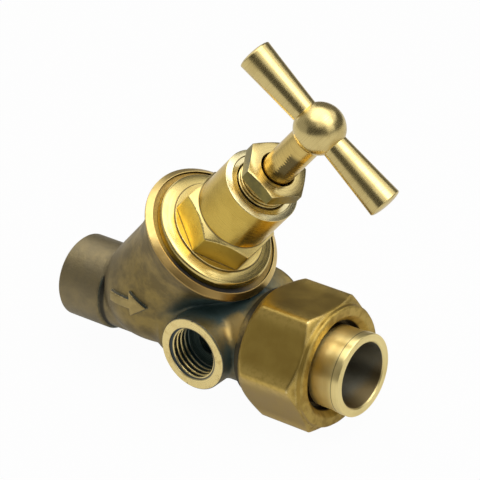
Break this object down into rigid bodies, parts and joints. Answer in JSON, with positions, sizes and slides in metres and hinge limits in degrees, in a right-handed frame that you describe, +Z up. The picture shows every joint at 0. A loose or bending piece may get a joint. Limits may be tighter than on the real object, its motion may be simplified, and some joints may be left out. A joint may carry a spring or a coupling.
{
  "type": "shut-off valve with drain",
  "caption": "Oblique-seat brass stop valve with T-bar handle, tapped side drain boss, a solder socket at the inlet and a union nut with solder tail at the outlet.",
  "frame": {"origin": "centre of the inlet socket's mouth, on the pipe axis", "axes": "+X along the pipe axis with the flow, towards the union; +Z up; the bonnet axis lies in the XZ plane and leans towards +X; the tapped drain boss points along -Y"},
  "size_m": [0.0876, 0.0334, 0.088],
  "materials": {
    "cast_brass": "satin, as cast",
    "turned_brass": "bright turned",
    "nut_brass": "satin",
    "handle_brass": "polished",
    "fibre": "matt",
    "packing": "matt",
    "rubber": "matt",
    "spring_steel": "satin"
  },
  "bodies": {
    "valve_body": {"body": "cast_brass", "bonnet": "turned_brass", "bonnet_gasket": "fibre", "packing_ring_lower": "packing", "packing_ring_middle": "packing", "packing_ring_upper": "packing", "gland_ring": "turned_brass", "gland_nut": "turned_brass", "union_nut": "nut_brass", "union_tail": "turned_brass", "union_gasket": "fibre"},
    "disc": {"disc_holder": "turned_brass", "retaining_ring": "spring_steel", "valve_washer": "rubber", "disc_nut": "turned_brass"},
    "spindle": {"spindle": "turned_brass", "handle": "handle_brass"}
  },
  "joints": [
    {"name": "spindle_lift", "type": "slide", "parent": "valve_body", "child": "disc", "axis": [0.6626, 0, 0.749], "range_m": [-0.007, 0]},
    {"name": "handle_turn", "type": "hinge", "parent": "disc", "child": "spindle", "pos_m": [0.019, 0, 0], "axis": [0.6626, 0, 0.749], "range_deg": [-1260, 0]}
  ],
  "couplings": [
    {"joint": "spindle_lift", "follows": "handle_turn", "m_per_rad": 0.0003183}
  ]
}
